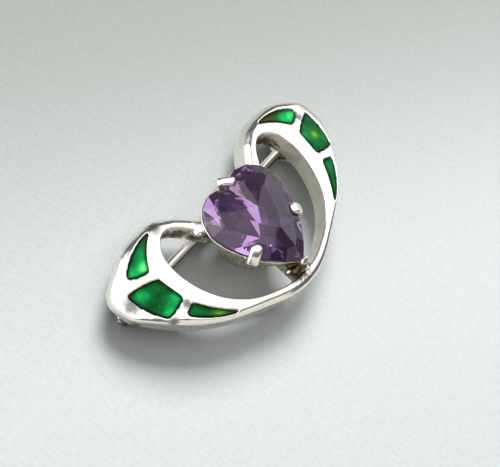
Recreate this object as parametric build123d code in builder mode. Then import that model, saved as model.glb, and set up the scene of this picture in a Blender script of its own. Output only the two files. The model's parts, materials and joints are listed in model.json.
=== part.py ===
# Silver brooch: a ribbon that curls into two enamelled wings around a heart-shaped stone.
# The brooch lies face up. X runs from wing tip to wing tip, Y towards the arms, Z up from the surface
# that it rests on. All sizes are in millimetres.

import os
from math import atan, cos, hypot, radians, sin, tan

from build123d import *

os.makedirs("parts", exist_ok=True)

# Overall size of the ribbon, seen from the front
span = 30.0
depth = 14.45

# Heights above the surface that the brooch rests on
back_height = 2.05
crest_height = 4.55
girdle_height = 5.25

# The ribbon's face is level near the middle and falls towards the wing ends
crest_radius = 10.4
fall_radius = 9.0
fall_angle = 42.0
bowl_centre_y = 2.2
neck_width = 1.1
outer_edge_round = 0.7
inner_edge_round = 0.15

# Enamel cells
cell_depth = 0.6
cell_corner_round = 0.22
cell_tip_round = 0.05
enamel_gap = 0.03
enamel_below_face = 0.08

# Heart stone
stone_width = 9.5
stone_length = 10.1
stone_tip_y = -5.3
girdle_thickness = 0.24
crown_height = 1.3
crown_angle = 32.0
star_angle = 21.0
star_start = 1.0
pavilion_angle = 39.0

# Collet: the heart-shaped cup that holds the stone
stone_gap = 0.04
collet_outside = 0.1
collet_wall = 0.34
rim_drop = 0.2
foot_width = 4.9
foot_length = 4.4
foot_tip_y = -3.5
foot_wall = 0.45

# Claws over the stone
claw_width = 1.15
claw_inside = 0.95
claw_outside = 0.8
claw_drop = 1.3
claw_thickness = 0.34
claw_round = 0.2
claw_end_round = 0.52
claw_crook = 0.4
side_claw_share = 0.345
tip_claw_width = 1.1
tip_claw_inside = 0.25
tip_claw_outside = 0.5
tip_claw_thickness = 0.14

# Flat claw in the heart's cleft, laid over towards the right lobe
cleft_claw_width = 0.9
cleft_claw_length = 2.1
cleft_claw_across = 0.33
cleft_claw_outside = 0.68
cleft_claw_turn = -36.0
cleft_claw_drop = 1.0
cleft_claw_rise = 0.45
cleft_claw_round = 0.3

# Solder bridge between the heart's tip and the ribbon
bridge_width = 1.7
bridge_bottom = 2.5
bridge_top = 4.2
bridge_reach = 0.75

# Pin, rivet and hinge
pin_y = 3.15
pin_height = 1.05
pin_radius = 0.46
point_radius = 0.1
point_start_x = -12.6
pin_tip_x = -14.6
hinge_x = 10.2
hinge_cant = 40.0
knuckle_radius = 0.78
knuckle_width = 1.02
rivet_radius = 0.26
rivet_clearance = 0.03
rivet_seat_gap = 0.02
rivet_head_radius = 0.4
rivet_head_height = 0.1
lug_thickness = 0.34
lug_gap = 0.05
root_overlap = 0.4

# Catch
catch_x = -13.75
catch_width = 1.5
catch_clearance = 0.08
catch_root_width = 1.6

# Outline tables for the right half. Each row is a place on the brooch:
# (share of the half span from the middle, share of the depth from the lower edge)
LOWER_EDGE = [(0.340, 0.098), (0.593, 0.226), (0.820, 0.420), (0.950, 0.590)]
WING_END = (1.0, 0.755)
UPPER_EDGE = [(0.900, 0.895), (0.760, 0.962)]
WING_TOP = (0.570, 1.0)
ARM_EDGE = [(0.460, 0.980), (0.354, 0.914), (0.262, 0.821), (0.158, 0.701)]
INNER_EDGE = [
    (0.250, 0.640),
    (0.342, 0.757),
    (0.398, 0.828),
    (0.474, 0.868),
    (0.560, 0.832),
    (0.606, 0.745),
    (0.614, 0.620),
    (0.582, 0.470),
    (0.505, 0.322),
    (0.370, 0.193),
    (0.200, 0.112),
]

# Cell tables. Each row is a corner, going round counter-clockwise, and the side that starts there:
# (share of the half span, share of the depth, outward bow of the side as a share of the depth)
UPPER_CELL = [(0.538, 0.940, -0.019), (0.726, 0.775, 0.015), (0.852, 0.835, 0.034)]
MIDDLE_CELL = [(0.726, 0.700, 0.0), (0.702, 0.520, 0.008), (0.849, 0.498, 0.023), (0.918, 0.766, 0.010)]
LOWER_CELL = [(0.496, 0.204, 0.026), (0.768, 0.433, 0.004), (0.685, 0.458, -0.014)]

# Heart table for the right half, from the cleft round the lobe to the tip:
# (share of the half width, share of the length from the tip)
HEART = [
    (0.0, 0.905),
    (0.14, 0.970),
    (0.40, 1.0),
    (0.70, 0.955),
    (0.90, 0.860),
    (1.0, 0.720),
    (0.96, 0.580),
    (0.83, 0.430),
    (0.60, 0.250),
    (0.30, 0.105),
    (0.0, 0.0),
]

# Values that follow from the sizes above
girdle_top = girdle_height + girdle_thickness / 2
girdle_bottom = girdle_height - girdle_thickness / 2
table_height = girdle_top + crown_height
rim_height = girdle_height - rim_drop
hook_inner_radius = pin_radius + catch_clearance
hook_outer_radius = pin_height
lug_offset = knuckle_width / 2 + lug_gap
lug_outside = lug_offset + lug_thickness
lug_radius = (pin_height - lug_outside * sin(radians(hinge_cant))) / cos(radians(hinge_cant))
bore_radius = rivet_radius + rivet_clearance
root_height = back_height + root_overlap
rivet_axis = Vector(0, cos(radians(hinge_cant)), sin(radians(hinge_cant)))
hinge_centre = Vector(hinge_x, pin_y, pin_height)
hinge_plane = Plane(origin=hinge_centre, x_dir=(1, 0, 0), z_dir=rivet_axis)
cleft_y = stone_tip_y + HEART[0][1] * stone_length


def spot(across, up):
    """A place on the ribbon's face, from its shares of the half span and of the depth."""
    return (across * span / 2, (up - 0.5) * depth)


def under_face(drop):
    """Everything under the ribbon's domed face, lowered by the given drop."""
    top = crest_height - drop
    with BuildPart() as bowl:
        with BuildSketch(Plane.XZ.offset(-bowl_centre_y)):
            with BuildLine():
                level = Line((0, top), (crest_radius, top))
                fall = JernArc(level @ 1, (1, 0), fall_radius, -fall_angle)
                Polyline(fall @ 1, ((fall @ 1).X, 0), (0, 0), (0, top))
            make_face()
        revolve(axis=Axis((0, bowl_centre_y, 0), (0, 0, 1)))
    return bowl.part


def heart_points(width, length, tip_y, grow):
    """The right half of a heart from its cleft to its tip, grown outwards by a margin."""
    wide = width / 2 + grow
    long = length + 2 * grow
    return [(across * wide, tip_y - grow + along * long) for across, along in HEART]


def left_of(start, end):
    """The direction to the left of a run: out of the heart, whose points go clockwise, and into a cell."""
    size = hypot(end[0] - start[0], end[1] - start[1])
    return ((start[1] - end[1]) / size, (end[0] - start[0]) / size)


def arc_normal(start, end, bow, at_end):
    """The direction to the left of an arc that bows to the right of its chord, at one of its ends."""
    left = left_of(start, end)
    swing = 2 * atan(2 * bow / hypot(end[0] - start[0], end[1] - start[1]))
    if not at_end:
        swing = -swing
    return (left[0] * cos(swing) - left[1] * sin(swing), left[0] * sin(swing) + left[1] * cos(swing))


def drawn_in(corners, bows, inset):
    """A cell's corners, moved so that each of its sides shifts inwards by the inset."""
    moved = []
    for i, corner in enumerate(corners):
        first = arc_normal(corners[i - 1], corner, bows[i - 1], True)
        second = arc_normal(corner, corners[(i + 1) % len(corners)], bows[i], False)
        reach = inset / (1 + first[0] * second[0] + first[1] * second[1])
        across = corner[0] + reach * (first[0] + second[0])
        up = corner[1] + reach * (first[1] + second[1])
        moved.append((across, up))
    return moved


def heart_face(width, length, tip_y, grow, height):
    """A whole heart with smooth sides, grown by a margin and lying level at a height."""
    points = heart_points(width, length, tip_y, grow)
    with BuildSketch(Plane.XY.offset(height)) as heart:
        with BuildLine():
            Spline(*points)
            mirror(about=Plane.YZ)
        make_face()
    return heart.sketch


def cut_stone(grow):
    """The faceted heart, or the room it needs when it grows by a clearance."""
    points = heart_points(stone_width, stone_length, stone_tip_y, grow)
    low = girdle_bottom - stone_width / 2
    with BuildPart() as stone:
        with BuildSketch(Plane.XY.offset(low)):
            with BuildLine():
                Polyline(*points, close=True)
            make_face()
        extrude(amount=table_height + grow - low)
        normals = [left_of(start, end) for start, end in zip(points, points[1:])]
        # Main facets of the crown and facets of the pavilion, one of each on every side
        for (x, y), (out_x, out_y) in zip(points, normals):
            tilt = radians(crown_angle)
            facing = (out_x * sin(tilt), out_y * sin(tilt), cos(tilt))
            split(bisect_by=Plane(origin=(x, y, girdle_top + grow), z_dir=facing), keep=Keep.BOTTOM)
            tilt = radians(pavilion_angle)
            facing = (out_x * sin(tilt), out_y * sin(tilt), -cos(tilt))
            split(bisect_by=Plane(origin=(x, y, girdle_bottom - grow), z_dir=facing), keep=Keep.BOTTOM)
        # Star facets over the corners between two sides
        star_rise = star_start * tan(radians(crown_angle))
        for (x, y), before, after in zip(points[1:], normals, normals[1:]):
            size = hypot(before[0] + after[0], before[1] + after[1])
            out_x, out_y = (before[0] + after[0]) / size, (before[1] + after[1]) / size
            tilt = radians(star_angle)
            facing = (out_x * sin(tilt), out_y * sin(tilt), cos(tilt))
            place = (x - out_x * star_start, y - out_y * star_start, girdle_top + grow + star_rise)
            split(bisect_by=Plane(origin=place, z_dir=facing), keep=Keep.BOTTOM)
        mirror(about=Plane.YZ)
    return stone.part


def cell_block(table, has_tip, inset):
    """An upright block with a cell's outline, drawn in from the cell's walls by the inset."""
    walls = [spot(across, up) for across, up, bow in table]
    bows = [bow * depth for across, up, bow in table]
    corners = drawn_in(walls, bows, inset)
    with BuildPart() as block:
        with BuildSketch(Plane.XY.offset(back_height)) as outline:
            with BuildLine():
                for i, bow in enumerate(bows):
                    j = (i + 1) % len(bows)
                    left = left_of(walls[i], walls[j])
                    belly_x = (walls[i][0] + walls[j][0]) / 2 + left[0] * (inset - bow)
                    belly_y = (walls[i][1] + walls[j][1]) / 2 + left[1] * (inset - bow)
                    if bow:
                        ThreePointArc(corners[i], (belly_x, belly_y), corners[j])
                    else:
                        Line(corners[i], corners[j])
            make_face()
            corner_vertices = outline.vertices()
            if has_tip:
                tip = corner_vertices.sort_by_distance((*corners[0], 0))[0]
                corner_vertices = corner_vertices - [tip]
            fillet(corner_vertices, radius=cell_corner_round - inset)
            if has_tip:
                tip = outline.vertices().sort_by_distance((*corners[0], 0))[0]
                fillet(tip, radius=cell_tip_round - inset)
        extrude(amount=crest_height)
    return block.part


def claw(place, out, width, inside, outside, thickness):
    """A claw that rises outside the collet and bends over the stone at a place on its girdle."""
    upright = Plane(origin=(*place, 0), x_dir=(*out, 0), z_dir=(out[1], -out[0], 0))
    foot_height = girdle_height - claw_drop
    head_height = girdle_top + inside * tan(radians(crown_angle)) + thickness
    with BuildPart() as nail:
        with BuildSketch(upright):
            with BuildLine():
                crook = (outside * claw_crook, girdle_top + thickness)
                back = ThreePointArc((-inside, head_height), crook, (outside, girdle_bottom))
                Polyline(back @ 1, (0, foot_height), (-inside, foot_height), back @ 0)
            make_face()
        extrude(amount=width / 2, both=True)
        fillet(nail.edges().filter_by(Axis.Z), radius=claw_end_round)
        top = nail.faces().sort_by(Axis.Z)[-1]
        fillet(top.edges(), radius=claw_round)
    return nail.part


def girdle_side(share):
    """The place on the girdle at a share of the stone's length, and its outward direction."""
    points = heart_points(stone_width, stone_length, stone_tip_y, 0)
    y = stone_tip_y + share * stone_length
    for start, end in zip(points, points[1:]):
        if start[1] > y >= end[1]:
            along = (start[1] - y) / (start[1] - end[1])
            return (start[0] + along * (end[0] - start[0]), y), left_of(start, end)


def lies_over(edge, curves):
    """Whether an edge of the ribbon's upper side runs along one of its outline's curves."""
    if min((edge @ along).Z for along in (0, 0.5, 1)) < back_height + outer_edge_round / 2:
        return False
    place = edge @ 0.5
    flat = Vertex(abs(place.X), place.Y, 0)
    return min(curve.distance_to(flat) for curve in curves) < 0.01


# Room that the stone needs inside the silver
stone_room = cut_stone(stone_gap)

# Cells to be sunk into the ribbon
CELLS = {
    "upper": (UPPER_CELL, True),
    "middle": (MIDDLE_CELL, False),
    "lower": (LOWER_CELL, True),
}
below_cells = under_face(cell_depth)
wells = []
for table, has_tip in CELLS.values():
    with BuildPart() as well:
        add(cell_block(table, has_tip, 0))
        add(below_cells, mode=Mode.SUBTRACT)
    wells.append(well.part)

# Ribbon that forms both wings
with BuildPart() as ribbon:
    with BuildSketch(Plane.XY.offset(back_height)):
        with BuildLine():
            middle = spot(0, 0)
            neck = (0, middle[1] + neck_width)
            lower_points = [spot(*row) for row in LOWER_EDGE]
            upper_points = [spot(*row) for row in UPPER_EDGE]
            arm_points = [spot(*row) for row in ARM_EDGE]
            inner_points = [spot(*row) for row in INNER_EDGE]
            lower = Spline(middle, *lower_points, spot(*WING_END), tangents=[(1, 0), (0, 1)])
            upper = Spline(lower @ 1, *upper_points, spot(*WING_TOP), tangents=[(0, 1), (-1, 0)])
            arm_run = Vector(*arm_points[-1]) - Vector(*arm_points[-2])
            arm = Spline(upper @ 1, *arm_points, tangents=[(-1, 0), arm_run.normalized()])
            inner_run = Vector(*inner_points[1]) - Vector(*inner_points[0])
            inner = Spline(*inner_points, neck, tangents=[inner_run.normalized(), (-1, 0)])
            Line(arm @ 1, inner @ 0)
            Line(neck, middle)
        make_face()
        mirror(about=Plane.YZ)
    extrude(amount=crest_height)
    add(under_face(0), mode=Mode.INTERSECT)
    outer_edges = ribbon.edges().filter_by(lambda edge: lies_over(edge, [lower, upper, arm]))
    fillet(outer_edges, radius=outer_edge_round)
    inner_edges = ribbon.edges().filter_by(lambda edge: lies_over(edge, [inner]))
    fillet(inner_edges, radius=inner_edge_round)

# Collet: an open cup with a heart-shaped foot that the brooch rests on
with BuildPart() as collet:
    add(heart_face(foot_width, foot_length, foot_tip_y, 0, 0))
    add(heart_face(stone_width, stone_length, stone_tip_y, collet_outside, rim_height))
    loft(ruled=True)

with BuildPart() as cup_room:
    add(heart_face(foot_width, foot_length, foot_tip_y, -foot_wall, 0))
    add(heart_face(stone_width, stone_length, stone_tip_y, collet_outside - collet_wall, rim_height))
    loft(ruled=True)

# Claws: one on each side, a short one at the tip and a flat one in the cleft
side_place, side_out = girdle_side(side_claw_share)
side_claw = claw(side_place, side_out, claw_width, claw_inside, claw_outside, claw_thickness)
tip_claw = claw(
    (0, stone_tip_y),
    (0, -1),
    tip_claw_width,
    tip_claw_inside,
    tip_claw_outside,
    tip_claw_thickness,
)

with BuildPart() as cleft_claw:
    middle_of_claw = Location((cleft_claw_across, cleft_y + cleft_claw_outside, 0), (0, 0, cleft_claw_turn))
    with BuildSketch(Plane.XY.offset(girdle_height - cleft_claw_drop)):
        with Locations(middle_of_claw):
            SlotOverall(cleft_claw_length, cleft_claw_width)
    extrude(amount=cleft_claw_drop + girdle_thickness / 2 + cleft_claw_rise)
    fillet(cleft_claw.faces().sort_by(Axis.Z)[-1].edges(), radius=cleft_claw_round)

# Solder bridge from the collet's tip to the middle of the ribbon
with BuildPart() as bridge:
    bridge_start = spot(0, 0)[1] + bridge_reach
    with BuildSketch(Plane.XY.offset(bridge_bottom)):
        with Locations((0, bridge_start)):
            Rectangle(bridge_width, foot_tip_y - bridge_start, align=(Align.CENTER, Align.MIN))
    extrude(amount=bridge_top - bridge_bottom)

# Catch: a hook that opens the way the pin swings out, with a root up to the wing
with BuildPart() as catch:
    with BuildSketch(Plane.YZ.offset(catch_x)):
        with Locations((pin_y, pin_height)):
            Circle(hook_outer_radius)
        with Locations((pin_y - hook_outer_radius, pin_height)):
            Rectangle(catch_root_width, root_height - pin_height, align=(Align.MIN, Align.MIN))
        with Locations((pin_y, pin_height)):
            Circle(hook_inner_radius, mode=Mode.SUBTRACT)
        with Locations(Location((pin_y, pin_height, 0), (0, 0, hinge_cant - 90))):
            Rectangle(
                2 * hook_outer_radius,
                2 * hook_inner_radius,
                align=(Align.MIN, Align.CENTER),
                mode=Mode.SUBTRACT,
            )
    extrude(amount=catch_width / 2, both=True)

# Hinge lugs: two discs with stems up to the wing, standing square to the rivet
with BuildPart() as lugs:
    for side in (-1, 1):
        with BuildSketch(hinge_plane.offset(side * lug_offset)):
            Circle(lug_radius)
            Rectangle(2 * lug_radius, 2 * root_height, align=(Align.CENTER, Align.MAX))
        extrude(amount=side * lug_thickness)
    split(bisect_by=Plane.XY.offset(root_height), keep=Keep.BOTTOM)

# Silver mount: the parts above soldered into one
with BuildPart() as silver_mount:
    add(ribbon.part)
    add(collet.part)
    add(side_claw)
    mirror(side_claw, about=Plane.YZ)
    add(tip_claw)
    add(cleft_claw.part)
    add(bridge.part)
    add(catch.part)
    add(lugs.part)
    add(cup_room.part, mode=Mode.SUBTRACT)
    add(stone_room, mode=Mode.SUBTRACT)
    for well in wells:
        add(well, mode=Mode.SUBTRACT)
        mirror(well, about=Plane.YZ, mode=Mode.SUBTRACT)
    with BuildSketch(hinge_plane):
        Circle(rivet_radius + rivet_seat_gap)
    extrude(amount=lug_outside + lug_gap, both=True, mode=Mode.SUBTRACT)
silver_mount.part.label = "silver_mount"
export_step(silver_mount.part, "parts/silver_mount.step")

# Heart stone
with BuildPart() as heart_stone:
    add(cut_stone(0))
heart_stone.part.label = "heart_stone"
export_step(heart_stone.part, "parts/heart_stone.step")

# Enamel in the cells
enamel_face = under_face(enamel_below_face)
enamel_floor = under_face(cell_depth - enamel_gap)
for name, (table, has_tip) in CELLS.items():
    with BuildPart() as enamel:
        add(cell_block(table, has_tip, enamel_gap))
        add(enamel_face, mode=Mode.INTERSECT)
        add(enamel_floor, mode=Mode.SUBTRACT)
    right = enamel.part
    right.label = "enamel_right_" + name
    export_step(right, "parts/enamel_right_" + name + ".step")
    left = mirror(enamel.part, about=Plane.YZ)
    left.label = "enamel_left_" + name
    export_step(left, "parts/enamel_left_" + name + ".step")

# Pin: a wire with a knuckle at the hinge and a ground point
with BuildPart() as pin_stem:
    with BuildSketch(hinge_plane):
        Circle(knuckle_radius)
    extrude(amount=knuckle_width / 2, both=True)
    with BuildSketch(Plane(origin=hinge_centre, z_dir=(-1, 0, 0))):
        Circle(pin_radius)
    extrude(amount=hinge_x - point_start_x)
    with BuildSketch(Plane(origin=(point_start_x, pin_y, pin_height), z_dir=(-1, 0, 0))):
        Circle(pin_radius)
    with BuildSketch(Plane(origin=(pin_tip_x, pin_y, pin_height), z_dir=(-1, 0, 0))):
        Circle(point_radius)
    loft()
    with BuildSketch(hinge_plane):
        Circle(bore_radius)
    extrude(amount=knuckle_width, both=True, mode=Mode.SUBTRACT)
pin_stem.part.label = "pin_stem"
export_step(pin_stem.part, "parts/pin_stem.step")

# Rivet that the pin turns on
with BuildPart() as hinge_rivet:
    with BuildSketch(hinge_plane):
        Circle(rivet_radius)
    extrude(amount=lug_outside + rivet_seat_gap, both=True)
    for side in (-1, 1):
        with BuildSketch(hinge_plane.offset(side * (lug_outside + rivet_seat_gap))):
            Circle(rivet_head_radius)
        extrude(amount=side * rivet_head_height)
hinge_rivet.part.label = "hinge_rivet"
export_step(hinge_rivet.part, "parts/hinge_rivet.step")
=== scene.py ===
import json
import math

import bmesh
import bpy
import numpy as np
from bpy.props import FloatProperty, FloatVectorProperty, IntProperty, PointerProperty
from mathutils import Matrix, Vector
from mathutils.bvhtree import BVHTree

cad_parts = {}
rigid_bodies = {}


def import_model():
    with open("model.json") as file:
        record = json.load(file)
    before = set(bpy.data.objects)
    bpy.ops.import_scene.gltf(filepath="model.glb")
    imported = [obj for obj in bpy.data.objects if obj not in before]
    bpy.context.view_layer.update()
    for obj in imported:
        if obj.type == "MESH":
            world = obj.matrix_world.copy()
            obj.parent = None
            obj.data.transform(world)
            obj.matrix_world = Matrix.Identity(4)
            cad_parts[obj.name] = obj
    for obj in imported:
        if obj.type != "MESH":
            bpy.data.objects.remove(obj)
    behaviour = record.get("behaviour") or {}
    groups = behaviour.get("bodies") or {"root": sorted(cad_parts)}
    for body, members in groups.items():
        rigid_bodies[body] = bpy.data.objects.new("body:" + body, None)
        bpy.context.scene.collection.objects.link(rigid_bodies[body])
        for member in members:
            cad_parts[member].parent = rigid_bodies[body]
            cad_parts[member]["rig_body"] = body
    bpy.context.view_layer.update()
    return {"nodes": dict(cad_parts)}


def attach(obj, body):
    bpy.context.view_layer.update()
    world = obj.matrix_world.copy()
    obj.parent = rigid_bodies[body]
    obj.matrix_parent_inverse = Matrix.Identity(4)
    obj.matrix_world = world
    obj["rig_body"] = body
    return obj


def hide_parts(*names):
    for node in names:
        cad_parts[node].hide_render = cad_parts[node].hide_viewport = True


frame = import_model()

bl_info = {
    "name": "Silver brooch",
    "version": (1, 0, 0),
    "blender": (4, 5, 0),
    "location": "View3D > Sidebar > Brooch",
    "description": "Dresses a silver brooch with enamelled wings around a heart-shaped stone",
    "category": "Object",
}

MM = 0.001

# Places on the brooch below are in millimetres: across, up the brooch, above the surface that it rests on

# Outer edge of an arm and of the top of its wing, which hand filing rolled over
ARM_RUN = [
    (12.3, 6.35),
    (11.0, 6.85),
    (9.6, 7.15),
    (8.55, 7.22),
    (6.9, 6.94),
    (5.31, 5.98),
    (3.93, 4.64),
    (2.37, 2.90),
]
# Distances from the middle line: the roll grows beside the stone and dies out on the wing
ROLL_START = (2.6, 3.4)
ROLL_END = (11.6, 9.0)
# Heights: the roll grows from the back of the ribbon up, and leaves out the claws, which stand above
ROLL_HEIGHTS = (2.05, 4.0)
CLAWS_START = 4.7

# Joined points of a mesh lie closer than this
MERGE_DISTANCE = 0.0001
# The collet's reach each way from the middle and the height of its rim
COLLET_REACH = 5.5
COLLET_RIM = 5.0

# How far a face leans back, as the height of its normal: film starts at the first and is full at the second
FILMED_SLOPES = (0.62, 0.1)
# Film on a wall that faces outwards, and grime with painted shade on the outside of the collet under the
# stone, as shares of the most
OUTER_WALL_FILM = 0.3
OUTER_COLLET_GRIME_AND_SHADE = 0.38
# How hollow a crease is where its painted shade and grime start and where they are full
SHADED_CREASES = (0.06, 0.3)

# Solder left at the joints: place and reach each way
SOLDER_LUMPS = [
    ((-4.55, 3.35, 4.1), (0.7, 0.6, 0.5)),
    ((-4.6, 4.2, 4.35), (0.3, 0.3, 0.3)),
    ((4.4, 3.3, 4.0), (0.6, 0.6, 0.5)),
    ((0.1, -5.6, 4.2), (0.6, 0.5, 0.55)),
    ((-0.75, -5.5, 4.2), (0.5, 0.35, 0.4)),
    ((-1.35, -5.1, 4.25), (0.4, 0.3, 0.35)),
]

# Brown patches in corners that no cloth reaches, grime at the heart's tip and painted shadow by the hinge:
# place and radius
GRIME_AND_SHADOW_SPOTS = [
    # Grime at the heart's tip
    ((-0.7, -5.5, 4.3), 1.9),
    # Brown patches in corners
    ((-5.0, 3.0, 3.2), 1.3),
    ((-7.1, 5.2, 3.2), 1.6),
    ((-5.9, 4.5, 3.2), 1.4),
    ((7.1, 5.2, 3.2), 1.6),
    ((8.6, 5.2, 3.0), 1.6),
    # Painted shadow by the hinge
    ((9.7, 4.6, 2.4), 2.0),
    ((10.6, 3.6, 1.4), 2.0),
    ((10.6, 2.4, 1.6), 1.5),
    # Brown patches in corners
    ((3.7, 4.3, 4.3), 0.6),
    ((-13.75, 2.2, 0.9), 2.0),
    ((-14.9, 1.4, 2.4), 1.0),
    ((-4.6, -1.6, 3.2), 1.3),
    ((-4.2, 2.2, 3.6), 1.0),
]

# Places where the polish has gone dull: place and radius
DULL_SPOTS = [
    ((-14.1, 3.0, 3.6), 1.2),
    ((-7.6, 6.3, 4.4), 1.0),
    ((-10.8, -0.3, 4.5), 0.7),
    ((-11.6, 6.5, 4.3), 0.4),
    ((-12.6, -0.5, 4.0), 0.7),
    ((12.3, 4.0, 4.3), 0.7),
    ((3.7, 4.5, 4.3), 0.8),
]

# Pools of bright green in each cell: across, up the brooch, radius and brightness
POOLS = {
    "enamel_left_upper": [(-11.0, 4.4, 0.7, 0.62), (-12.2, 4.8, 0.7, 0.35), (-10.2, 5.6, 0.9, 0.2)],
    "enamel_left_middle": [(-12.9, 3.0, 0.8, 0.36), (-12.3, 0.3, 0.7, 0.4), (-11.1, 0.8, 0.6, 0.42)],
    "enamel_left_lower": [(-10.8, -1.1, 0.7, 0.16)],
    "enamel_right_upper": [(11.7, 4.7, 0.8, 0.48), (10.6, 4.9, 0.6, 0.25)],
    "enamel_right_middle": [(12.9, 0.8, 0.7, 0.16), (11.4, 2.2, 0.8, 0.2)],
    "enamel_right_lower": [(10.6, -1.0, 0.8, 0.15)],
}

# Thin places where the silver shines through yellow: across, up the brooch and radius
THIN_PLACES = {
    "enamel_left_lower": (-9.1, -2.8, 0.6),
    "enamel_right_middle": (12.1, 1.7, 0.35),
}

# Tips that burnt brown in the firing: across, up the brooch and radius
BURNT_TIPS = {
    "enamel_left_upper": (-8.5, 6.2, 0.7),
    "enamel_left_lower": (-7.9, -3.9, 0.8),
    "enamel_right_upper": (8.5, 6.2, 1.3),
}

# The side that the window is on, seen from the front
WINDOW_SIDE = (0.77, 0.64)

# Lights: name, direction from the brooch, distance, width and height in metres, colour, radiance, whether
# polished faces mirror it and whether it lights the floor
LIGHTS = [
    ("ceiling", (0.20, -0.02, 1.0), 0.42, 1.0, 0.46, "#FFFFFF", 1.15, True, True),
    ("window", (0.515, 0.450, 0.730), 0.40, 0.20, 0.18, "#FFFFFF", 30.0, False, True),
    ("left_wall", (-1.0, 0.15, 0.50), 0.45, 0.60, 0.42, "#FFFFFF", 1.6, True, False),
    ("far_wall", (-0.50, 0.86, 0.58), 0.45, 0.50, 0.54, "#FFFFFF", 1.7, True, False),
    ("right_wall", (1.0, -0.16, 0.40), 0.45, 0.30, 0.30, "#FFFFFF", 1.1, True, False),
    ("near_wall", (-0.25, -0.93, 0.35), 0.45, 0.45, 0.35, "#FFF4E0", 0.75, True, False),
]


def linear(code):
    """An sRGB hex colour as linear red, green, blue and alpha."""
    channels = [int(code[i : i + 2], 16) / 255 for i in (1, 3, 5)]
    return [c / 12.92 if c <= 0.04045 else ((c + 0.055) / 1.055) ** 2.4 for c in channels] + [1.0]


def new_material(name):
    """An empty node material."""
    material = bpy.data.materials.new(name)
    material.use_nodes = True
    material.node_tree.nodes.clear()
    return material


def add_node(material, kind, settings=None, links=None, stops=None):
    """Adds a shader node. A link is a value, an output, or a node that stands for its first output."""
    tree = material.node_tree
    node = tree.nodes.new(kind)
    for key, value in (settings or {}).items():
        setattr(node, key, value)
    for key, value in (links or {}).items():
        if isinstance(value, bpy.types.Node):
            tree.links.new(value.outputs[0], node.inputs[key])
        elif isinstance(value, bpy.types.NodeSocket):
            tree.links.new(value, node.inputs[key])
        else:
            node.inputs[key].default_value = value
    for number, (place, colour) in enumerate(stops or []):
        elements = node.color_ramp.elements
        element = elements[number] if number < len(elements) else elements.new(place)
        element.position = place
        element.color = colour if hasattr(colour, "__len__") else (colour, colour, colour, 1.0)
    return node


def merged_copy(node):
    """A CAD node's shape as a bmesh in millimetres, with its loose triangles joined."""
    work = bmesh.new()
    work.from_mesh(frame["nodes"][node].data)
    bmesh.ops.scale(work, vec=(1 / MM, 1 / MM, 1 / MM), verts=work.verts)
    bmesh.ops.remove_doubles(work, verts=work.verts, dist=MERGE_DISTANCE)
    return work


def evened(work, face_size, smoothing):
    """The shape in millimetres as a mesh of even little faces with softened edges."""
    mesh = bpy.data.meshes.new("evened")
    work.to_mesh(mesh)
    work.free()
    helper = bpy.data.objects.new("evened", mesh)
    bpy.context.scene.collection.objects.link(helper)
    remesh = helper.modifiers.new("remesh", "REMESH")
    remesh.mode = "VOXEL"
    remesh.voxel_size = face_size / MM
    smooth = helper.modifiers.new("smooth", "SMOOTH")
    smooth.factor = 0.5
    smooth.iterations = smoothing
    depsgraph = bpy.context.evaluated_depsgraph_get()
    result = bpy.data.meshes.new_from_object(helper.evaluated_get(depsgraph))
    bpy.data.objects.remove(helper)
    bpy.data.meshes.remove(mesh)
    return result


def coordinates(mesh):
    """The places and the normals of a mesh's points."""
    places = np.zeros(len(mesh.vertices) * 3)
    normals = np.zeros(len(mesh.vertices) * 3)
    mesh.vertices.foreach_get("co", places)
    mesh.vertices.foreach_get("normal", normals)
    return places.reshape(-1, 3), normals.reshape(-1, 3)


def hollowness(mesh, spread):
    """How far each point of a mesh lies in a crease, above zero, or on an edge, below zero."""
    count = len(mesh.vertices)
    places, normals = coordinates(mesh)
    ends = np.zeros(len(mesh.edges) * 2, dtype=np.int64)
    mesh.edges.foreach_get("vertices", ends)
    first, second = ends.reshape(-1, 2).T
    run = places[second] - places[first]
    run /= np.maximum(np.linalg.norm(run, axis=1), 1e-9)[:, None]
    share = np.maximum(np.bincount(first, minlength=count) + np.bincount(second, minlength=count), 1)
    rise = np.bincount(first, (normals[first] * run).sum(1), count)
    rise -= np.bincount(second, (normals[second] * run).sum(1), count)
    value = rise / share
    for _ in range(spread):
        blurred = np.bincount(first, value[second], count) + np.bincount(second, value[first], count)
        value = 0.5 * value + 0.5 * blurred / share
    return value


def distance_to_run(places, run):
    """How far points lie from a run of straight pieces, seen from the front."""
    apart = np.full(len(places), np.inf)
    for start, end in zip(run, run[1:]):
        start, along = np.array(start), np.array(end) - np.array(start)
        share = np.clip((places[:, :2] - start) @ along / (along @ along), 0, 1)
        apart = np.minimum(apart, np.linalg.norm(places[:, :2] - start - share[:, None] * along, axis=1))
    return apart


def nearness(places, spots):
    """How near points lie to any of some spots: one at a spot's place, nothing past its radius."""
    value = np.zeros(len(places))
    for place, radius in spots:
        apart = np.linalg.norm(places - place, axis=1)
        value = np.maximum(value, np.clip(1 - apart / radius, 0, 1))
    return value


def share_between(value, start, end):
    """How far a value has come from a start to an end, from nothing to one."""
    return np.clip((value - start) / (end - start), 0, 1)


def store(mesh, name, values):
    """Keeps one number for each point of a mesh, for its material to read."""
    attribute = mesh.attributes.new(name, "FLOAT", "POINT")
    attribute.data.foreach_set("value", np.asarray(values, dtype=np.float32))


def place_piece(name, mesh, node, material):
    """Makes a finished piece of a mesh in millimetres that stands for a CAD node and moves with its body."""
    mesh.transform(Matrix.Scale(MM, 4))
    mesh.shade_smooth()
    mesh.materials.clear()
    mesh.materials.append(material)
    piece = bpy.data.objects.new(name, mesh)
    bpy.context.scene.collection.objects.link(piece)
    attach(piece, frame["nodes"][node]["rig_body"])
    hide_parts(node)


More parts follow.
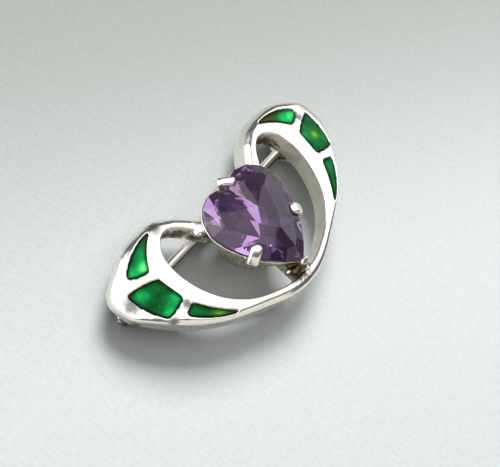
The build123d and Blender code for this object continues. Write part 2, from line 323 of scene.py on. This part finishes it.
def worn_silver(settings):
    """Cast silver polished by hand: mirror faces, a straw film on sheltered walls, brown grime with painted
    shade in creases, corners and on the collet under the stone.
    """
    material = new_material("worn_polished_silver")
    place = add_node(material, "ShaderNodeTexCoord").outputs["Object"]
    film = add_node(material, "ShaderNodeAttribute", {"attribute_name": "film"}).outputs["Fac"]
    grime_and_shade = add_node(material, "ShaderNodeAttribute", {"attribute_name": "grime_and_shade"}).outputs["Fac"]
    dull = add_node(material, "ShaderNodeAttribute", {"attribute_name": "dull"}).outputs["Fac"]
    clouds = add_node(
        material, "ShaderNodeTexNoise", None, {"Vector": place, "Scale": 1 / (1.6 * MM), "Detail": 3.0}
    )
    specks = add_node(
        material, "ShaderNodeTexNoise", None, {"Vector": place, "Scale": 1 / (0.35 * MM), "Detail": 2.0}
    )

    # Film on the walls, thicker and thinner in clouds
    thickness = add_node(material, "ShaderNodeValToRGB", None, {"Fac": clouds}, [(0.3, 0.35), (0.7, 1.0)])
    film = add_node(material, "ShaderNodeMath", {"operation": "MULTIPLY"}, {0: film, 1: thickness})
    colour = add_node(
        material, "ShaderNodeValToRGB", None, {"Fac": film}, [(0.0, settings.bright), (1.0, settings.filmed)]
    )

    # Dull places, and grime with painted shade, break up into specks
    dull = add_node(material, "ShaderNodeMath", {"operation": "MULTIPLY_ADD"}, {0: specks, 1: 0.6, 2: dull})
    dull = add_node(material, "ShaderNodeValToRGB", None, {"Fac": dull}, [(0.42, 0.0), (1.0, 0.95)])
    colour = add_node(
        material, "ShaderNodeMix", {"data_type": "RGBA"}, {0: dull, 6: colour, 7: settings.dulled}
    ).outputs[2]
    grime_and_shade = add_node(material, "ShaderNodeMath", {"operation": "MULTIPLY_ADD"}, {0: specks, 1: 0.9, 2: grime_and_shade})
    grime_and_shade = add_node(material, "ShaderNodeValToRGB", None, {"Fac": grime_and_shade}, [(0.66, 0.0), (1.0, 0.95)])
    colour = add_node(
        material, "ShaderNodeMix", {"data_type": "RGBA"}, {0: grime_and_shade, 6: colour, 7: settings.grime_and_shade}
    ).outputs[2]

    # The polish is sharp on the faces and gone under the film
    rough = add_node(material, "ShaderNodeMath", {"operation": "MULTIPLY_ADD"}, {0: film, 1: 0.55, 2: 0.15})
    rough = add_node(material, "ShaderNodeMath", {"operation": "MULTIPLY_ADD"}, {0: dull, 1: 0.25, 2: rough})
    rough = add_node(material, "ShaderNodeMath", {"operation": "MULTIPLY_ADD"}, {0: grime_and_shade, 1: 0.2, 2: rough})

    # Faint hand-made waves, with small pits from casting
    waves = add_node(
        material, "ShaderNodeTexNoise", None, {"Vector": place, "Scale": 1 / (2.2 * MM), "Detail": 1.0}
    )
    pits = add_node(material, "ShaderNodeValToRGB", None, {"Fac": specks}, [(0.3, 0.0), (0.4, 0.08)])
    height = add_node(material, "ShaderNodeMath", {"operation": "ADD"}, {0: waves, 1: pits})
    bump = add_node(
        material, "ShaderNodeBump", None, {"Height": height, "Strength": 0.35, "Distance": 0.08 * MM}
    )
    shader = add_node(
        material,
        "ShaderNodeBsdfPrincipled",
        None,
        {"Base Color": colour, "Metallic": 1.0, "Roughness": rough, "Normal": bump},
    )
    add_node(material, "ShaderNodeOutputMaterial", None, {"Surface": shader})
    return material


def drawn_wire(settings):
    """Drawn nickel silver wire: lines along its length, a film towards the hinge, bright on its upper side
    and brown with painted shade on its lower side.
    """
    material = new_material("drawn_nickel_silver_wire")
    place = add_node(material, "ShaderNodeTexCoord").outputs["Object"]
    drawn_out = add_node(material, "ShaderNodeMapping", None, {"Vector": place, "Scale": (0.08, 1.0, 1.0)})
    lines = add_node(
        material, "ShaderNodeTexNoise", None, {"Vector": drawn_out, "Scale": 1 / (0.5 * MM), "Detail": 2.0}
    )
    normal = add_node(material, "ShaderNodeNewGeometry").outputs["Normal"]
    # Painted shade: the wire turns brown towards its lower side
    shaded_lower_side = add_node(
        material, "ShaderNodeVectorMath", {"operation": "DOT_PRODUCT"}, {0: normal, 1: (0.0, -0.85, -0.53)}
    )
    film = add_node(
        material,
        "ShaderNodeMath",
        {"operation": "MULTIPLY_ADD"},
        {0: lines, 1: 0.5, 2: shaded_lower_side.outputs["Value"]},
    )
    along = add_node(material, "ShaderNodeSeparateXYZ", None, {0: place}).outputs["X"]
    near_hinge = add_node(
        material,
        "ShaderNodeMapRange",
        None,
        {"Value": along, "From Min": 0.0, "From Max": 7 * MM, "To Max": 0.35},
    )
    film = add_node(material, "ShaderNodeMath", {"operation": "ADD"}, {0: film, 1: near_hinge})
    colour = add_node(
        material,
        "ShaderNodeValToRGB",
        None,
        {"Fac": film},
        [(0.2, settings.wire), (0.45, settings.wire_film), (0.85, settings.wire_shaded_underside)],
    )
    rough = add_node(material, "ShaderNodeMath", {"operation": "MULTIPLY_ADD"}, {0: lines, 1: 0.25, 2: 0.14})
    bump = add_node(
        material, "ShaderNodeBump", None, {"Height": lines, "Strength": 0.2, "Distance": 0.02 * MM}
    )
    shader = add_node(
        material,
        "ShaderNodeBsdfPrincipled",
        None,
        {"Base Color": colour, "Metallic": 1.0, "Roughness": rough, "Normal": bump},
    )
    add_node(material, "ShaderNodeOutputMaterial", None, {"Surface": shader})
    return material


def amethyst(settings):
    """Cut and polished amethyst: clear quartz with purple in zones, darker where more stone is crossed."""
    material = new_material("cut_amethyst")
    place = add_node(material, "ShaderNodeTexCoord").outputs["Object"]
    zones = add_node(
        material, "ShaderNodeTexNoise", None, {"Vector": place, "Scale": 1 / (3.0 * MM), "Detail": 1.0}
    )
    colour = add_node(
        material, "ShaderNodeValToRGB", None, {"Fac": zones}, [(0.35, settings.pale), (0.7, settings.deep)]
    )
    shader = add_node(
        material,
        "ShaderNodeBsdfPrincipled",
        None,
        {"Base Color": colour, "Roughness": 0.02, "IOR": 1.544, "Transmission Weight": 0.97},
    )
    add_node(material, "ShaderNodeOutputMaterial", None, {"Surface": shader})
    return material


def fired_enamel(settings):
    """Fired translucent enamel over silver: deep green glass, lighter where it lets light back."""
    material = new_material("fired_green_enamel")
    place = add_node(material, "ShaderNodeTexCoord").outputs["Object"]
    rim = add_node(material, "ShaderNodeAttribute", {"attribute_name": "rim"}).outputs["Fac"]
    glow = add_node(material, "ShaderNodeAttribute", {"attribute_name": "glow"}).outputs["Fac"]
    thin = add_node(material, "ShaderNodeAttribute", {"attribute_name": "thin"}).outputs["Fac"]
    burn = add_node(material, "ShaderNodeAttribute", {"attribute_name": "burn"}).outputs["Fac"]
    clouds = add_node(
        material,
        "ShaderNodeTexNoise",
        None,
        {"Vector": place, "Scale": 1 / (0.7 * MM), "Detail": 3.0, "Roughness": 0.6},
    )
    glow = add_node(material, "ShaderNodeMath", {"operation": "MULTIPLY_ADD"}, {0: clouds, 1: 0.5, 2: glow})
    colour = add_node(
        material,
        "ShaderNodeValToRGB",
        None,
        {"Fac": glow},
        [(0.16, settings.deep), (0.42, settings.body), (0.68, settings.light), (1.0, settings.bright)],
    )
    for share, tint in ((thin, settings.thin), (burn, settings.burnt), (rim, settings.rim)):
        colour = add_node(
            material, "ShaderNodeMix", {"data_type": "RGBA"}, {0: share, 6: colour, 7: tint}
        ).outputs[2]
    bubbles = add_node(
        material, "ShaderNodeTexNoise", None, {"Vector": place, "Scale": 1 / (0.3 * MM), "Detail": 2.0}
    )
    bump = add_node(
        material, "ShaderNodeBump", None, {"Height": bubbles, "Strength": 0.3, "Distance": 0.03 * MM}
    )
    shader = add_node(
        material,
        "ShaderNodeBsdfPrincipled",
        None,
        {"Base Color": colour, "Roughness": 0.12, "IOR": 1.5, "Specular IOR Level": 0.06, "Normal": bump},
    )
    add_node(material, "ShaderNodeOutputMaterial", None, {"Surface": shader})
    return material


def pale_satin(settings):
    """Pale grey satin sheet: fine threads, and painted shading that lightens it from the far side to the
    near.
    """
    material = new_material("pale_satin")
    place = add_node(material, "ShaderNodeTexCoord").outputs["Object"]
    # Painted light: the satin is darker at the far side and lighter at the near side
    slope = add_node(
        material, "ShaderNodeVectorMath", {"operation": "DOT_PRODUCT"}, {0: place, 1: (-0.50, -0.85, 0.0)}
    )
    painted_falloff = add_node(
        material,
        "ShaderNodeMapRange",
        {"interpolation_type": "SMOOTHSTEP"},
        {"Value": slope.outputs["Value"], "From Min": -30 * MM, "From Max": 12 * MM},
    )
    threads = add_node(
        material,
        "ShaderNodeTexWave",
        {"bands_direction": "X"},
        {"Vector": place, "Scale": 0.16 / (0.3 * MM), "Distortion": 6.0, "Detail": 2.0, "Detail Scale": 1.5},
    )
    clouds = add_node(
        material, "ShaderNodeTexNoise", None, {"Vector": place, "Scale": 1 / (0.6 * MM), "Detail": 4.0}
    )
    grain = add_node(
        material, "ShaderNodeMath", {"operation": "MULTIPLY_ADD"}, {0: threads, 1: 0.15, 2: clouds}
    )
    tone = add_node(
        material,
        "ShaderNodeValToRGB",
        None,
        {"Fac": painted_falloff},
        [(0.0, settings.floor_far_shaded), (1.0, settings.floor_near_lit)],
    )
    shade = add_node(material, "ShaderNodeValToRGB", None, {"Fac": grain}, [(0.4, 0.93), (0.9, 1.0)])
    tone = add_node(
        material,
        "ShaderNodeMix",
        {"data_type": "RGBA", "blend_type": "MULTIPLY"},
        {0: 1.0, 6: tone, 7: shade},
    ).outputs[2]
    bump = add_node(
        material, "ShaderNodeBump", None, {"Height": grain, "Strength": 0.3, "Distance": 0.1 * MM}
    )
    shader = add_node(
        material, "ShaderNodeBsdfPrincipled", None, {"Base Color": tone, "Roughness": 0.6, "Normal": bump}
    )
    add_node(material, "ShaderNodeOutputMaterial", None, {"Surface": shader})
    return material


def length_setting(name, description, default, smallest=0.0):
    """A length in metres that a user can change."""
    return FloatProperty(
        name=name,
        description=description,
        default=default,
        min=smallest,
        precision=5,
        subtype="DISTANCE",
        unit="LENGTH",
    )


def angle_setting(name, description, degrees):
    """An angle that a user can change."""
    return FloatProperty(
        name=name, description=description, default=math.radians(degrees), subtype="ANGLE", unit="ROTATION"
    )


def colour_setting(name, description, code):
    """A colour that a user can change."""
    return FloatVectorProperty(
        name=name, description=description, default=linear(code), size=4, min=0.0, max=1.0, subtype="COLOR"
    )


class BroochSilverSettings(bpy.types.PropertyGroup):
    """Finish of the silver"""

    face_size: length_setting(
        "Face size", "Size of the little faces of the silver's mesh", 0.112 * MM, 0.06 * MM
    )
    smoothing: IntProperty(
        name="Smoothing", description="How far polishing by hand rounded the edges", default=3, min=0
    )
    roll_width: length_setting("Rolled width", "Width of the rolled outer edge of the arms", 1.1 * MM)
    roll_depth: length_setting("Rolled depth", "Drop of the rolled outer edge of the arms", 0.7 * MM)
    # How far the painted shade and grime spread out of creases
    crease_shade_spread: IntProperty(
        name="Grime spread", description="How far grime spreads out of creases", default=6, min=0
    )
    bright: colour_setting("Bright", "Polished silver", "#F4F1EA")
    filmed: colour_setting("Filmed", "Silver under a straw film", "#E2DCCB")
    dulled: colour_setting("Dulled", "Silver that has lost its polish", "#80807A")
    # Brown grime, with painted shade in creases, in corners and on the collet under the stone
    grime_and_shade: colour_setting("Grime", "Brown grime in corners", "#5E4A36")


class BroochStoneSettings(bpy.types.PropertyGroup):
    """Colour and wear of the stone"""

    edge_wear: length_setting("Edge wear", "Width of the worn edges between facets", 0.03 * MM)
    facet_angle: angle_setting("Facet angle", "Angle past which two facets meet in an edge", 4.0)
    pale: colour_setting("Pale zones", "Paler zones of the stone", "#C7A0D4")
    deep: colour_setting("Deep zones", "Deeper zones of the stone", "#AC82C2")


class BroochEnamelSettings(bpy.types.PropertyGroup):
    """Finish of the enamel"""

    face_size: length_setting(
        "Face size", "Size of the little faces of the enamel's mesh", 0.06 * MM, 0.03 * MM
    )
    rim_width: length_setting("Rim width", "Width of the dark rim on the side of the window", 0.5 * MM)
    deep: colour_setting("Deep", "Enamel where it lies thickest", "#012E04")
    body: colour_setting("Body", "Enamel of common thickness", "#075C2A")
    light: colour_setting("Light", "Enamel that lets light back", "#109A4A")
    bright: colour_setting("Bright", "Enamel at its lightest", "#6CD070")
    thin: colour_setting("Thin", "Enamel where the silver shines through", "#4C8A1E")
    burnt: colour_setting("Burnt", "Enamel burnt in the firing", "#4A3B22")
    rim: colour_setting("Rim", "Enamel in the shade of a cell's wall", "#010C05")


class BroochPinSettings(bpy.types.PropertyGroup):
    """Finish of the pin and the rivet"""

    sharp_angle: angle_setting("Sharp angle", "Angle past which an edge of the wire stays sharp", 38.0)
    wire: colour_setting("Wire", "Wire rubbed bright by cloth", "#E4E0DC")
    wire_film: colour_setting("Film", "Wire under a thin film", "#A79E95")
    # Painted shade on the wire's lower side
    wire_shaded_underside: colour_setting("Underside", "Lower side of the wire", "#45382C")


class BroochStageSettings(bpy.types.PropertyGroup):
    """Camera, floor and lights"""

    azimuth: angle_setting("Azimuth", "Direction of the camera round the brooch", -91.62)
    elevation: angle_setting("Elevation", "Height of the camera above the horizon", 58.0)
    roll: angle_setting("Roll", "Tilt of the picture", -44.44)
    distance: length_setting("Distance", "Depth of the aim point in front of the camera", 90.26 * MM)
    focal_length: FloatProperty(
        name="Focal length", description="Focal length of the lens", default=72.0, subtype="DISTANCE_CAMERA"
    )
    aim: FloatVectorProperty(
        name="Aim point",
        description="A point on the brooch",
        default=(0.0, 1.592 * MM, 4.76 * MM),
        precision=5,
        subtype="XYZ",
        unit="LENGTH",
    )
    aim_across: FloatProperty(
        name="Aim across",
        description="Where the aim point shows, from the left",
        default=245.27,
        subtype="PIXEL",
    )
    aim_down: FloatProperty(
        name="Aim down",
        description="Where the aim point shows, from the top",
        default=209.61,
        subtype="PIXEL",
    )
    picture_width: FloatProperty(
        name="Picture width", description="Width of the picture", default=500, subtype="PIXEL"
    )
    picture_height: FloatProperty(
        name="Picture height", description="Height of the picture", default=467, subtype="PIXEL"
    )
    floor_size: length_setting("Floor size", "Half the width of the floor", 1.5)
    # Painted shading of the floor: darker at the far side, lighter at the near side
    floor_far_shaded: colour_setting("Far floor", "Satin at the far side", "#80847F")
    floor_near_lit: colour_setting("Near floor", "Satin at the near side", "#ADB1B1")
    room: colour_setting("Room", "The room around the lights", "#B9BDBD")
    room_light: FloatProperty(
        name="Room light", description="Brightness of the room around the lights", default=0.3, min=0.0
    )


class BROOCH_OT_silver(bpy.types.Operator):
    """Polished and worn silver of the ribbon, collet, claws, catch and lugs"""

    bl_idname = "brooch.silver"
    bl_label = "Silver"

    def execute(self, context):
        settings = context.scene.brooch_silver
        work = merged_copy("silver_mount")
        for place, reach in SOLDER_LUMPS:
            lump = Matrix.Translation(place) @ Matrix.Diagonal((*reach, 1.0))
            bmesh.ops.create_icosphere(work, subdivisions=3, radius=1.0, matrix=lump)
        mesh = evened(work, settings.face_size, settings.smoothing)
        self.roll_arms(mesh, settings)
        self.soil(mesh, settings)
        place_piece("silver_body", mesh, "silver_mount", worn_silver(settings))
        return {"FINISHED"}

    def roll_arms(self, mesh, settings):
        """Rolls the outer edge of both arms down, as a file does."""
        places = coordinates(mesh)[0]
        across = np.abs(places[:, 0])
        apart = distance_to_run(np.column_stack((across, places[:, 1])), ARM_RUN)
        near_edge = np.clip(1 - apart / (settings.roll_width / MM), 0, 1)
        along = share_between(across, *ROLL_START) * share_between(across, *ROLL_END)
        high = share_between(places[:, 2], *ROLL_HEIGHTS) * (places[:, 2] < CLAWS_START)
        places[:, 2] -= settings.roll_depth / MM * near_edge**2 * along * high
        mesh.vertices.foreach_set("co", places.ravel())
        mesh.update()

    def soil(self, mesh, settings):
        """Marks where film, grime with painted shade, and dull places lie."""
        places, normals = coordinates(mesh)
        inward = -places[:, :2] / np.maximum(np.linalg.norm(places[:, :2], axis=1), 0.5)[:, None]
        sheltered = np.clip((normals[:, :2] * inward).sum(1), 0, 1)
        under_stone = self.under_stone(places)
        steep = share_between(normals[:, 2], *FILMED_SLOPES)
        film = np.maximum(OUTER_WALL_FILM + (1 - OUTER_WALL_FILM) * sheltered, under_stone)
        store(mesh, "film", steep * film)
        # Painted shade and grime in creases, darkest where the surface is most hollow
        creases = share_between(hollowness(mesh, settings.crease_shade_spread), *SHADED_CREASES)
        grime_and_shade = np.maximum(creases, nearness(places, GRIME_AND_SHADOW_SPOTS))
        # Painted shade with grime on the collet under the stone: full on its inner walls, less on its outer
        # walls
        collet_grime_and_shade = under_stone * np.where(sheltered > 0.1, 1.0, OUTER_COLLET_GRIME_AND_SHADE)
        store(mesh, "grime_and_shade", np.maximum(grime_and_shade, collet_grime_and_shade))
        store(mesh, "dull", nearness(places, DULL_SPOTS))

    def under_stone(self, places):
        """One where a point of the collet lies under the stone, else nothing."""
        stone = merged_copy("heart_stone")
        cover = BVHTree.FromBMesh(stone)
        stone.free()
        covered = np.zeros(len(places))
        near = (np.abs(places[:, :2]).max(1) < COLLET_REACH) & (places[:, 2] < COLLET_RIM)
        for number in np.flatnonzero(near):
            covered[number] = cover.ray_cast(Vector(places[number]), Vector((0, 0, 1)))[0] is not None
        return covered


class BROOCH_OT_stone(bpy.types.Operator):
    """Heart-shaped amethyst"""

    bl_idname = "brooch.stone"
    bl_label = "Heart stone"

    def execute(self, context):
        settings = context.scene.brooch_stone
        stone = frame["nodes"]["heart_stone"]
        stone.data.materials.clear()
        stone.data.materials.append(amethyst(settings))
        join = stone.modifiers.new("join", "WELD")
        join.merge_threshold = MERGE_DISTANCE * MM
        wear = stone.modifiers.new("edge_wear", "BEVEL")
        wear.width = settings.edge_wear
        wear.segments = 1
        wear.limit_method = "ANGLE"
        wear.angle_limit = settings.facet_angle
        return {"FINISHED"}


class BROOCH_OT_enamel(bpy.types.Operator):
    """Fired enamel in the six cells"""

    bl_idname = "brooch.enamel"
    bl_label = "Enamel"

    def execute(self, context):
        settings = context.scene.brooch_enamel
        material = fired_enamel(settings)
        for node, pools in POOLS.items():
            mesh = evened(merged_copy(node), settings.face_size, 1)
            places, normals = coordinates(mesh)
            store(mesh, "rim", self.rim(places, normals, settings.rim_width / MM))
            glow = sum(brightness * self.pool(places, *spot) for *spot, brightness in pools)
            store(mesh, "glow", np.clip(glow, 0, 1))
            for name, spots in (("thin", THIN_PLACES), ("burn", BURNT_TIPS)):
                share = self.pool(places, *spots[node]) if node in spots else np.zeros(len(places))
                store(mesh, name, share)
            place_piece(node.replace("enamel", "glass"), mesh, node, material)
        return {"FINISHED"}

    def pool(self, places, across, up, radius):
        """A round pool that fades outwards."""
        return np.exp(-((places[:, :2] - (across, up)) ** 2).sum(1) / radius**2)

    def rim(self, places, normals, width):
        """The shade of the cell's walls, widest along the walls that the window is behind."""
        upright = np.abs(normals[:, 2]) < 0.5
        walls = places[upright, :2]
        facing = normals[upright, :2] @ WINDOW_SIDE
        shade = np.zeros(len(places))
        for number, place in enumerate(places[:, :2]):
            apart = np.hypot(*(walls - place).T)
            nearest = apart.argmin()
            reach = width * (0.5 + 0.5 * np.clip(facing[nearest], 0, 1))
            shade[number] = np.clip(1 - apart[nearest] / reach, 0, 1)
        return shade


class BROOCH_OT_pin(bpy.types.Operator):
    """Pin wire and rivet"""

    bl_idname = "brooch.pin"
    bl_label = "Pin and rivet"

    def execute(self, context):
        settings = context.scene.brooch_pin
        material = drawn_wire(settings)
        for node in ("pin_stem", "hinge_rivet"):
            work = merged_copy(node)
            mesh = bpy.data.meshes.new(node)
            work.to_mesh(mesh)
            work.free()
            place_piece(node + "_metal", mesh, node, material)
            mesh.set_sharp_from_angle(angle=settings.sharp_angle)
        return {"FINISHED"}


class BROOCH_OT_stage(bpy.types.Operator):
    """Pale floor, soft light and camera"""

    bl_idname = "brooch.stage"
    bl_label = "Stage"

    def execute(self, context):
        settings = context.scene.brooch_stage
        self.make_floor(settings)
        self.make_lights(context, settings)
        self.make_camera(context, settings)
        context.scene.view_settings.view_transform = "Standard"
        return {"FINISHED"}

    def make_floor(self, settings):
        """A wide plain sheet of pale satin."""
        work = bmesh.new()
        bmesh.ops.create_grid(work, x_segments=2, y_segments=2, size=settings.floor_size)
        mesh = bpy.data.meshes.new("floor")
        work.to_mesh(mesh)
        work.free()
        mesh.materials.append(pale_satin(settings))
        floor = bpy.data.objects.new("floor", mesh)
        bpy.context.scene.collection.objects.link(floor)

    def make_lights(self, context, settings):
        """A grey room with a white ceiling, white walls and one bright window."""
        world = bpy.data.worlds.new("room")
        world.use_nodes = True
        background = world.node_tree.nodes["Background"]
        background.inputs["Color"].default_value = settings.room
        background.inputs["Strength"].default_value = settings.room_light
        context.scene.world = world
        for name, toward, distance, width, height, code, radiance, mirrored, lit in LIGHTS:
            light = bpy.data.lights.new(name, "AREA")
            light.shape = "RECTANGLE"
            light.size = width
            light.size_y = height
            light.color = linear(code)[:3]
            light.energy = radiance * math.pi * width * height
            lamp = bpy.data.objects.new(name, light)
            lamp.visible_glossy = mirrored
            lamp.visible_diffuse = lit
            lamp.visible_transmission = mirrored
            context.scene.collection.objects.link(lamp)
            way = Vector(toward).normalized()
            # A lamp's width lies level, and along X where the lamp hangs overhead
            across = Vector((1, 0, 0)) if way.z > 0.9 else Vector((0, 0, 1)).cross(way)
            across = (across - way * across.dot(way)).normalized()
            turned = Matrix((across, way.cross(across), way)).transposed().to_4x4()
            lamp.matrix_world = Matrix.Translation(way * distance) @ turned

    def make_camera(self, context, settings):
        """The camera, aimed so that the aim point shows at its place in the picture."""
        turn, rise, roll = settings.azimuth, settings.elevation, settings.roll
        back = Vector((math.sin(turn) * math.cos(rise), -math.cos(turn) * math.cos(rise), math.sin(rise)))
        right = (-back).cross(Vector((0, 0, 1))).normalized()
        down = (-back).cross(right)
        across = math.cos(roll) * right + math.sin(roll) * down
        below = -math.sin(roll) * right + math.cos(roll) * down
        data = bpy.data.cameras.new("camera")
        data.lens = settings.focal_length
        data.clip_start = 0.005
        data.clip_end = 10.0
        pixel = data.sensor_width / (settings.focal_length * settings.picture_width)
        off_across = (settings.aim_across - settings.picture_width / 2) * pixel
        off_down = (settings.aim_down - settings.picture_height / 2) * pixel
        place = Vector(settings.aim) + (back - across * off_across - below * off_down) * settings.distance
        camera = bpy.data.objects.new("camera", data)
        context.scene.collection.objects.link(camera)
        turned = Matrix((across, -below, back)).transposed().to_4x4()
        camera.matrix_world = Matrix.Translation(place) @ turned
        context.scene.camera = camera


class BROOCH_PT_panel(bpy.types.Panel):
    """The brooch's pieces"""

    bl_idname = "BROOCH_PT_panel"
    bl_label = "Silver brooch"
    bl_space_type = "VIEW_3D"
    bl_region_type = "UI"
    bl_category = "Brooch"

    def draw(self, context):
        for operator, (name, group) in zip(OPERATORS, SETTINGS.items()):
            box = self.layout.box()
            for setting in group.__annotations__:
                box.prop(getattr(context.scene, name), setting)
            box.operator(operator.bl_idname)


SETTINGS = {
    "brooch_silver": BroochSilverSettings,
    "brooch_stone": BroochStoneSettings,
    "brooch_enamel": BroochEnamelSettings,
    "brooch_pin": BroochPinSettings,
    "brooch_stage": BroochStageSettings,
}
OPERATORS = [BROOCH_OT_silver, BROOCH_OT_stone, BROOCH_OT_enamel, BROOCH_OT_pin, BROOCH_OT_stage]


def register():
    for name, group in SETTINGS.items():
        bpy.utils.register_class(group)
        setattr(bpy.types.Scene, name, PointerProperty(type=group))
    for operator in OPERATORS:
        bpy.utils.register_class(operator)
    bpy.utils.register_class(BROOCH_PT_panel)


def unregister():
    bpy.utils.unregister_class(BROOCH_PT_panel)
    for operator in reversed(OPERATORS):
        bpy.utils.unregister_class(operator)
    for name, group in reversed(SETTINGS.items()):
        delattr(bpy.types.Scene, name)
        bpy.utils.unregister_class(group)


def main():
    register()
    bpy.ops.brooch.silver()
    bpy.ops.brooch.stone()
    bpy.ops.brooch.enamel()
    bpy.ops.brooch.pin()
    bpy.ops.brooch.stage()


if __name__ == "__main__":
    main()
